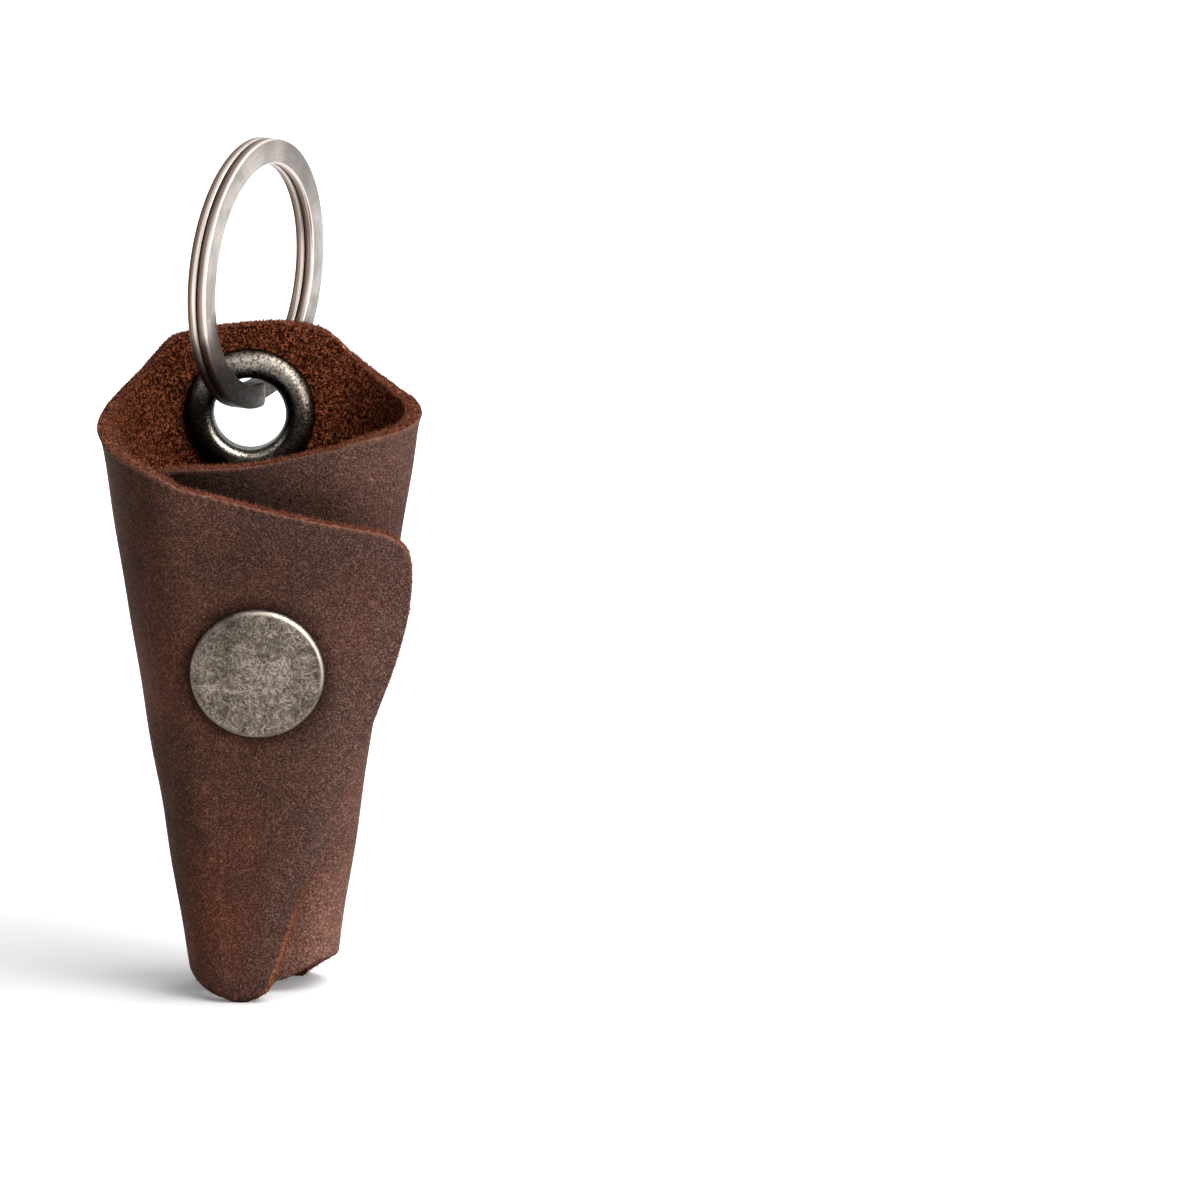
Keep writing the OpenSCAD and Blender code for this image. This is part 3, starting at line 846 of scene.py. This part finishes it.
def mix(factor, *colours):
    """Mixes two colours, each a socket or a tone written as 0 to 255."""
    a, b = (srgb(*colour) if isinstance(colour, tuple) else colour for colour in colours)
    return node("Mix", {0: factor, 6: a, 7: b}, data_type="RGBA").outputs[2]


def vector_maths(operation, vector, settings, output=0):
    return node("VectorMath", {0: vector, **settings}, operation=operation).outputs[output]


def scaled(vector, factor):
    return vector_maths("SCALE", vector, {"Scale": factor})


def distance(place, centre):
    return vector_maths("DISTANCE", place, {1: centre}, "Value")


def axes_of(vector):
    return node("SeparateXYZ", {0: vector}).outputs


def noise(place, scale, detail=2.0, rough=0.5, distortion=0.0):
    inputs = {"Vector": place, "Scale": scale, "Detail": detail, "Roughness": rough, "Distortion": distortion}
    return node("TexNoise", inputs).outputs["Fac"]


def pebbles(place, scale, smoothness):
    inputs = {"Vector": place, "Scale": scale, "Smoothness": smoothness}
    return node("TexVoronoi", inputs, feature="SMOOTH_F1").outputs["Distance"]


def stretched(place, turn, scale):
    """The place turned and then stretched, so that a noise there runs in strokes."""
    inputs = {"Vector": place, "Rotation": [math.radians(a) for a in turn]}
    turned = node("VectorRotate", inputs, rotation_type="EULER_XYZ").outputs[0]
    return vector_maths("MULTIPLY", turned, {1: scale})


def bare_tree(owner):
    owner.use_nodes = True
    owner.node_tree.nodes.clear()
    return owner.node_tree


def new_material(name):
    """An empty material with its Principled shader joined to the output."""
    material = bpy.data.materials.new(name)
    tree = bare_tree(material)
    shader = node("BsdfPrincipled", {}, tree)
    node("OutputMaterial", {"Surface": shader.outputs[0]})
    return material, tree, shader


def feed(shader, **inputs):
    """Joins or sets the Principled shader's sockets; underscores stand for spaces."""
    for key, value in inputs.items():
        put_in(shader, key.replace("_", " "), value)


def bumped(layers):
    """A chain of bumps from (height, depth in millimetres) pairs."""
    normal = None
    for height, depth_mm in layers:
        inputs = {"Height": height, "Distance": depth_mm * MM}
        if normal is not None:
            inputs["Normal"] = normal
        normal = node("Bump", inputs).outputs[0]
    return normal


def attribute(tree, name, output="Fac"):
    return node("Attribute", {}, tree, attribute_name=name).outputs[output]


def rest_place(tree):
    """The leather's own coordinates in millimetres, which stay on it when it bends."""
    return scaled(attribute(tree, "rest", "Vector"), 1 / MM)


def metal_place(tree):
    """A metal piece's own coordinates in millimetres."""
    return scaled(node("TexCoord", {}, tree).outputs["Object"], 1 / MM)


def grain_leather(name, covered):
    """Oiled brown grain with painted shade round the snap cap; the inner flap's has a painted shadow where
    the outer flap covers it.
    """
    material, tree, shader = new_material(name)
    place = rest_place(tree)
    rim = attribute(tree, "rim")
    x, _, z = axes_of(place)
    cloud = noise(place, 0.055, 3, 0.55)
    patch = noise(place, 0.16, 4, 0.6, 0.4)
    pebble = pebbles(place, 2.9, 0.25)
    pores = noise(place, 3.5, 1, 0.5, 0.9)
    lines = crinkle(place, 3.7, 0.072)
    mottle = plus(times(cloud, 0.9), times(patch, 0.18))

    colour = grain_colour(place, x, z, rim, mottle, patch)
    # Painted light on the inner flap's low strip
    if covered:
        colour = mix(span(z, 16, 8, 0, 0.7), colour, (122, 86, 74))
    colour = scaled(colour, grain_light(x, z, pores, lines, covered))
    colour = grain_edges(colour, x, z, rim, pores, covered)
    # Painted shade in a ring round the snap cap
    shade_round_cap = plus(distance(place, SNAP_SEAT), times(minus(patch, 0.5), 3.0))
    shade_round_cap = times(span(shade_round_cap, CAP_D / 2 + 1.7, CAP_D / 2 - 0.2), 0.6)
    colour = mix(shade_round_cap, colour, (30, 17, 12))

    rough = span(mottle, 0.4, 0.7, 0.62, 0.48)
    scuffs = noise(stretched(place, (0, 20, 0), (0.25, 0.25, 2.6)), 1.0, 3, 0.6)
    normal = bumped([(cloud, 0.25), (pebble, -0.16), (pores, 0.24), (lines, 0.06), (scuffs, 0.015)])
    feed(shader, Base_Color=colour, Roughness=rough, Normal=normal, Specular_IOR_Level=0.018)
    return material


def grain_colour(place, x, z, rim, mottle, patch):
    """Mottled brown with a grey haze that thins toward the left as painted shade, paler pull-up, red burnish,
    and a paler, greyer right side that is painted light.
    """
    colour = mix(span(mottle, 0.42, 0.66), (72, 52, 43), (98, 60, 47))
    haze = times(span(rim, 5.5, 0.3), span(patch, 0.3, 0.6, 0.5))
    haze = larger(times(haze, 0.8), times(span(z, 38, 58), 0.2))
    # The haze thins toward the left as painted shade
    colour = mix(times(haze, span(x, -13, 0, 0.15)), colour, (84, 66, 61))
    pull = times(span(noise(place, 0.42, 5, 0.65, 0.8), 0.5, 0.72), 0.2)
    colour = mix(pull, colour, (128, 82, 64))
    from_burnish = distance(stretched(place, (0, 0, 0), (0.24, 0.04, 0.065)), (-1.0, -0.4, 0.8))
    burnish = times(span(from_burnish, 1.1, 0.2), span(patch, 0.35, 0.6, 0.2, 0.5))
    colour = mix(burnish, colour, (112, 59, 43))
    # Painted light: paler and greyer toward the right
    return mix(times(span(x, 0, 9), 0.45), colour, (104, 78, 70))


def grain_light(x, z, pores, lines, covered):
    """Pale winding lines and pores, with painted shade at the foot, at the left and high up, painted light
    toward the right, and on the inner flap a painted shadow of the outer flap.
    """
    light = plus(span(pores, 0.36, 0.64, 0.54, 0.78), times(lines, 2.1))
    # Painted shade at the foot, painted light toward the right, and painted shade on the upper left and upper
    # right
    light = times(light, span(z, 0, 4, 0.7))
    light = times(light, span(x, -14, 6, 1.04, 1.12))
    light = dimmed(light, times(span(x, -8, -14), span(z, 28, 52, 0, 0.34)))
    light = dimmed(light, times(span(x, -9, 3), span(z, 38, 48, 0, 0.22)))
    if covered:
        # Painted shadow of the outer flap: darkest at the left and just under the outer flap's edge
        light = times(light, span(x, -9, 3, 0.24, 1.14))
        over_line = plus(z, times(x, 0.275))
        light = dimmed(light, times(span(over_line, 60, 54), span(z, 44, 48, 0, 0.3)))
    return light


def grain_edges(colour, x, z, rim, pores, covered):
    """The arris: a pale painted highlight higher up and dark near the foot, and painted light on the cut edge
    low on the outer flap.
    """
    # Painted highlight along the arris
    arris = times(span(rim, 0.98, 0.86), span(pores, 0.36, 0.5, 0.3, 0.45 if covered else 0.8))
    colour = mix(arris, colour, mix(span(z, 16, 30), (40, 22, 16), (150, 104, 86)))
    if covered:
        return colour
    # Painted light on the outer flap's low cut edge
    lit_cut_edge = times(span(rim, 1.01, 0.93), span(z, 15, 9))
    lit_cut_edge = times(lit_cut_edge, span(x, -0.5, 0.5))
    lit_cut_edge = times(lit_cut_edge, span(pores, 0.4, 0.56, 0.15))
    return mix(lit_cut_edge, colour, (172, 106, 78))


def suede_leather(name):
    """The flesh side: a short nap in light and dark fibres, darker toward the foot, with painted shade that
    deepens toward the top.
    """
    material, tree, shader = new_material(name)
    place = rest_place(tree)
    swirl = noise(place, 0.35, 3, 0.6)
    clump = noise(stretched(place, (0, 35, 0), (0.8, 1, 1.5)), 1.9, 2, 0.6, 0.6)
    nap = noise(place, 3.4, 1, 0.6, 0.5)
    hairs = strokes(place, NAP_TURNS, 5.0, 2.4, 0.62, 0.72)
    tone = plus(times(clump, 0.45), times(nap, 0.55))
    tone = plus(tone, times(minus(swirl, 0.5), 0.15))
    colour = mix(span(tone, 0.4, 0.56), (24, 7, 3), (80, 31, 15))
    light = times(hairs, span(tone, 0.38, 0.56, 0.3, 0.9))
    colour = mix(light, colour, (190, 110, 72))
    height = axes_of(place)[2]
    colour = mix(span(height, 5, 1, 0, 0.7), colour, (24, 10, 6))
    # Painted shade, deepening toward the top of the mouth
    colour = mix(span(height, 56, 66, 0.04, 0.28), colour, (40, 15, 8))
    normal = bumped([(clump, 0.4), (nap, 0.22), (hairs, 0.07)])
    feed(shader, Base_Color=colour, Roughness=0.95, Normal=normal, Specular_IOR_Level=0.02)
    feed(shader, Sheen_Weight=0.02, Sheen_Roughness=0.4, Sheen_Tint=srgb(226, 160, 124))
    return material


def cut_leather(name):
    """The cut edge: paler and fibrous, darker at the foot."""
    material, tree, shader = new_material(name)
    place = rest_place(tree)
    fibre = noise(place, 3.4, 2, 0.6, 0.6)
    clump = noise(place, 1.3, 3, 0.6)
    tone = plus(times(fibre, 0.65), times(clump, 0.35))
    colour = mix(span(tone, 0.42, 0.52), (54, 25, 16), (116, 64, 45))
    colour = mix(span(tone, 0.52, 0.62), colour, (190, 122, 92))
    height = axes_of(place)[2]
    colour = mix(span(height, 2.5, 0.3, 0, 0.6), colour, (40, 20, 13))
    normal = bumped([(fibre, 0.3), (clump, 0.24)])
    feed(shader, Base_Color=colour, Roughness=0.92, Normal=normal, Specular_IOR_Level=0.08)
    feed(shader, Sheen_Weight=0.08, Sheen_Roughness=0.4, Sheen_Tint=srgb(226, 160, 124))
    return material


def loose_fibre(name):
    """The nap's single fibres, each with a tone of its own."""
    material, tree, shader = new_material(name)
    fine = noise(rest_place(tree), 3.0, 2, 0.5)
    tone = plus(times(attribute(tree, "tone"), 0.75), times(fine, 0.25))
    colour = mix(span(tone, 0.1, 0.5), (44, 20, 13), (110, 58, 40))
    colour = mix(span(tone, 0.6, 0.95), colour, (202, 134, 102))
    feed(shader, Base_Color=colour, Roughness=0.85, Specular_IOR_Level=0.1)
    return material


def strokes(place, turns, fine, long, low, high):
    """Fine short strokes in several directions, as 1 on a stroke and 0 between."""
    marks = []
    for turn in turns:
        line = noise(stretched(place, turn, (fine, fine, long)), 1.0, 0, 0.5, 0.3)
        marks.append(span(line, low, high))
    return functools.reduce(larger, marks)


def crinkle(place, scale, width):
    """A net of thin winding lines, as 1 on a line and 0 between."""
    level = noise(place, scale, 1, 0.5, 0.4)
    return span(calc("ABSOLUTE", minus(level, 0.5)), width, 0.0)


def aged_nickel(name, bright, dull, dark, roughness, brushed, pitted):
    """Aged nickel: mottled, pitted and brushed, darkened by painted shade, partly grime, and brightened by
    painted highlights, partly rubbing, as each point's stored values say.
    """
    material, tree, shader = new_material(name)
    place = metal_place(tree)
    patch = noise(place, 0.45, 3, 0.6, 0.4)
    speckle = noise(place, 3.2, 1, 0.6)
    scratch = strokes(place, BRUSH_TURNS, 6.4, 1.5, 0.66, 0.77)
    wear_and_highlight = attribute(tree, "wear_and_highlight")

    tone = plus(times(patch, 0.55), times(speckle, 0.45))
    mark = times(scratch, span(patch, 0.35, 0.65, 0.45 * brushed, 1.2 * brushed))
    base = times(span(tone, 0.36, 0.64), 1 - 0.7 * brushed)
    colour = mix(plus(base, mark, clamp=True), dull, bright)
    pits = noise(place, 4.0, 1, 0.5, 0.3)
    colour = mix(times(span(pits, 0.52, 0.6), pitted), colour, dark)
    # Painted highlight, partly rubbing
    rubbed_highlight = times(wear_and_highlight, span(pits, 0.6, 0.46, 0.8 - 0.5 * pitted, 0.8))
    colour = mix(rubbed_highlight, colour, (214, 204, 192))
    # Painted shade, partly grime
    colour = mix(times(attribute(tree, "grime_and_shade"), 0.95), colour, dark)

    rough = span(tone, 0.35, 0.65, roughness + 0.12, roughness - 0.05)
    rough = minus(rough, times(wear_and_highlight, 0.14))
    scratch_depth = 0.005 + 0.02 * brushed
    normal = bumped([(patch, 0.05), (speckle, 0.03), (scratch, scratch_depth), (pits, -0.02 * pitted)])
    feed(shader, Base_Color=colour, Metallic=1.0, Roughness=rough, Normal=normal)
    return material


def ring_metal(name):
    """Plain flat sides, painted reflections as dark and bright lines along the round faces, and painted shade
    on the upper right, in the groove and toward the foot.
    """
    material, tree, shader = new_material(name)
    place = metal_place(tree)
    wire = attribute(tree, "wire", "Vector")
    _, radial, sideways = axes_of(wire)
    streak = noise(stretched(wire, (0, 0, 0), (0.08, 2.2, 3.4)), 1.0, 2, 0.6)
    hair = noise(stretched(wire, (0, 0, 0), (0.35, 7.0, 7.0)), 1.0, 2, 0.6)
    patch = noise(place, 0.3, 2, 0.5, 0.3)
    speckle = noise(place, 3.0, 2, 0.6)

    flat = plus(times(patch, 0.6), times(hair, 0.4))
    colour = mix(span(flat, 0.38, 0.62), (134, 127, 122), (166, 158, 152))
    # Painted shade on the upper right
    colour = mix(times(attribute(tree, "painted_dark_side"), 0.75), colour, (88, 82, 79))
    round_face = span(calc("ABSOLUTE", radial), WIRE_W / 2 - 0.17, WIRE_W / 2 - 0.07)
    # Painted reflections: dark and bright lines along the round faces
    line = minus(times(minus(streak, 0.5), 0.5), sideways)
    lines = mix(span(line, -0.3, -0.05), (86, 65, 55), (146, 127, 116))
    lines = mix(span(line, 0.08, 0.24), lines, (232, 220, 212))
    colour = mix(round_face, colour, lines)
    # Painted shade toward the foot, where the ring hangs in the eyelet, and in the groove
    foot = span(axes_of(place)[2], 70.5, 66)
    shade_and_grime = larger(times(attribute(tree, "grime_and_shade"), 0.9), times(foot, 0.86))
    colour = mix(shade_and_grime, colour, mix(span(speckle, 0.4, 0.6), (14, 12, 10), (80, 76, 72)))
    rough = plus(span(flat, 0.4, 0.6, 0.36, 0.26), times(shade_and_grime, 0.2))
    normal = bumped([(streak, 0.03), (hair, 0.006), (patch, 0.04), (speckle, 0.006)])
    feed(shader, Base_Color=colour, Metallic=1.0, Roughness=rough, Normal=normal)
    return material


def floor_material():
    """A pale floor that keeps the shadow; to the camera and in reflections it is lifted to white."""
    material = bpy.data.materials.new("floor_pale")
    tree = bare_tree(material)
    matt = node("BsdfDiffuse", {"Color": (0.86, 0.86, 0.86, 1)}, tree).outputs[0]
    far = vector_maths("LENGTH", node("TexCoord", {}, tree).outputs["Object"], {}, "Value")
    contact = node("AmbientOcclusion", {"Distance": CONTACT_M}, tree, samples=8).outputs["AO"]
    lift = plus(span(far, *FLOOR_LIFT_M, FLOOR_LIFT), span(far, *FLOOR_NEAR_M, 0.0, FLOOR_NEAR))
    lift = times(lift, span(contact, 0.45, 0.95, 0.4))
    lift = times(lift, seen_rays(tree))
    glow = node("Emission", {"Color": (1, 1, 1, 1), "Strength": lift}).outputs[0]
    both = node("AddShader", {0: matt, 1: glow}).outputs[0]
    node("OutputMaterial", {"Surface": both})
    return material


def seen_rays(tree):
    """1 for camera, glossy and transmission rays."""
    path = node("LightPath", {}, tree).outputs
    seen = larger(path["Is Camera Ray"], path["Is Glossy Ray"])
    return larger(seen, path["Is Transmission Ray"])


def floor():
    r = FLOOR_R
    obj = new_object("floor", [(-r, -r, 0), (r, -r, 0), (r, r, 0), (-r, r, 0)], [(0, 1, 2, 3)])
    obj.data.materials.append(floor_material())


def world():
    """White where it is seen or reflected, and a softer level as light."""
    made = bpy.data.worlds.new("studio")
    bpy.context.scene.world = made
    tree = bare_tree(made)
    strength = span(seen_rays(tree), 0, 1, WORLD_LIGHT)
    back = node("Background", {"Color": (1, 1, 1, 1), "Strength": strength}).outputs[0]
    node("OutputWorld", {"Surface": back})


def placed(name, data, place, turn):
    obj = bpy.data.objects.new(name, data)
    obj.location = place
    obj.rotation_euler = turn
    bpy.context.scene.collection.objects.link(obj)
    return obj


def lamp(name, place, side, power):
    light = bpy.data.lights.new(name, "AREA")
    light.shape = "RECTANGLE"
    light.size = light.size_y = side
    light.energy = power
    aim = (Vector(LAMP_AIM_M) - Vector(place)).to_track_quat("-Z", "Y").to_euler()
    placed(name, light, place, aim)


def camera():
    """The photograph's view."""
    lens = bpy.data.cameras.new("camera")
    lens.sensor_width = SENSOR
    lens.lens = SENSOR / VIEW_WIDE * VIEW_DISTANCE
    lens.clip_start = 0.01
    tilt = math.radians(VIEW_ELEVATION)
    away = Vector((0, -math.cos(tilt), math.sin(tilt))) * VIEW_DISTANCE
    place = (Vector(VIEW_AIM) + away) * MM
    bpy.context.scene.camera = placed("camera", lens, place, (math.radians(QUARTER) - tilt, 0, 0))


def bend(piece, joint_name, toward):
    """Works out the bend line's axis, direction and origin, which nothing uses, and bakes the piece's
    transform into its mesh.
    """
    joint = JOINTS[joint_name]
    axis = Vector(joint["axis"]).normalized()
    way = Vector(toward)
    way = (way - axis * way.dot(axis)).normalized()
    origin = Vector(joint["pos_m"])
    origin += axis * ((MID_Z * MM - origin.z) / axis.z)
    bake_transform(piece)


def punch(obj):
    """Cuts the round hole that the eyelet's barrel fills."""
    r, low, high = HOLE_D / 2 + BARREL_WALL + 0.03, -4, 2
    profile = [[0, low], [r, low], [r, high], [0, high]]
    tool = lathe("punch", profile, eyelet_place(), lambda r, h: (0, 0), 96)
    cut = obj.modifiers.new("punch", "BOOLEAN")
    cut.object = tool
    cut.operation = "DIFFERENCE"
    cut.solver = "EXACT"
    bpy.context.view_layer.update()
    shape = obj.evaluated_get(bpy.context.evaluated_depsgraph_get())
    mesh = bpy.data.meshes.new_from_object(shape)
    obj.modifiers.clear()
    obj.data = mesh
    bpy.data.objects.remove(tool)


def dress_leather(sheet, body, first, last, nodes, joint_name, toward, seed):
    """Makes one half of the leather with its loose fibres, and bakes the transforms of both."""
    outline = sheet[3].mean(axis=0)
    materials = (grain_leather(f"{body} grain", body == "right"), suede_leather(f"{body} suede"),
                 cut_leather(f"{body} cut edge"))
    half = leather_half(f"leather_{body}", sheet, first, last, materials)
    if "leather_back" in nodes:
        punch(half)
    rim = rim_roots(sheet, first, last, RIM_FIBRES, seed)
    nap = suede_roots(sheet, first, last, SUEDE_FIBRES, seed + 1)
    roots, ways = np.concatenate([rim[0], nap[0]]), np.concatenate([rim[1], nap[1]])
    lengths = np.concatenate([np.full(len(rim[0]), RIM_FIBRE_L), np.full(len(nap[0]), SUEDE_FIBRE_L)])
    fibres = strands(f"leather_{body}_fibres", roots, ways, lengths, FIBRE_W, seed + 2)
    fibres.data.materials.append(loose_fibre(f"{body} fibre"))
    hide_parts(*nodes)
    for piece in (half, fibres):
        # Each point's rest place in metres, so that the finish stays on the leather when it bends
        vector_attribute(piece, "rest", own_points(piece) * MM)
        float_attribute(piece, "rim", rim_distance(own_points(piece), outline))
        bend(piece, joint_name, toward)


def bend_way(side, layers):
    """The way in which the leather runs at a bend line, toward its flap."""
    here, there = (fold_xy(MID_Z, -BEND_TURN - step, layers, 0) for step in (0, 1))
    return side * (there[0] - here[0]), there[1] - here[1], 0


def dress_metal(piece, node_name, body, material):
    piece.data.materials.append(material)
    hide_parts(node_name)
    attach(piece, body)


def finish_node(name, material):
    """A solid that stays as it is gets its material."""
    mesh = frame["nodes"][name].data
    mesh.materials.clear()
    mesh.materials.append(material)


sheet = leather_sheet()
places = columns()
seam = min((i for i, (kind, _) in enumerate(places) if kind == "back"),
           key=lambda i: abs(places[i][1] - SEAM_STATION))
dress_leather(sheet, "left", 0, seam, ("leather_back", "leather_outer_flap"),
              "outer_flap_open", bend_way(1, 0), 11)
dress_leather(sheet, "right", seam, len(places) - 1, ("leather_inner_flap",),
              "inner_flap_open", bend_way(-1, LEATHER_T + FLAP_GAP), 23)

eyelet_finish = aged_nickel("eyelet nickel", *EYELET_NICKEL)
cap_finish = aged_nickel("cap nickel", *CAP_NICKEL)
hidden_finish = aged_nickel("inner nickel", *INNER_NICKEL)
spring_finish = aged_nickel("spring steel", *SPRING_STEEL)
dress_metal(eyelet(), "eyelet", "back", eyelet_finish)
dress_metal(snap_cap(), "snap_cap", "outer_flap", cap_finish)
dress_metal(key_ring(), "key_ring", "key_ring", ring_metal("ring nickel"))
finish_node("eyelet_washer", eyelet_finish)
for name in ("snap_cap_rivet", "snap_socket", "snap_stud", "snap_post"):
    finish_node(name, hidden_finish)
finish_node("snap_spring", spring_finish)

floor()
world()
for settings in LAMPS:
    lamp(*settings)
camera()
bpy.context.scene.view_settings.view_transform = "Standard"
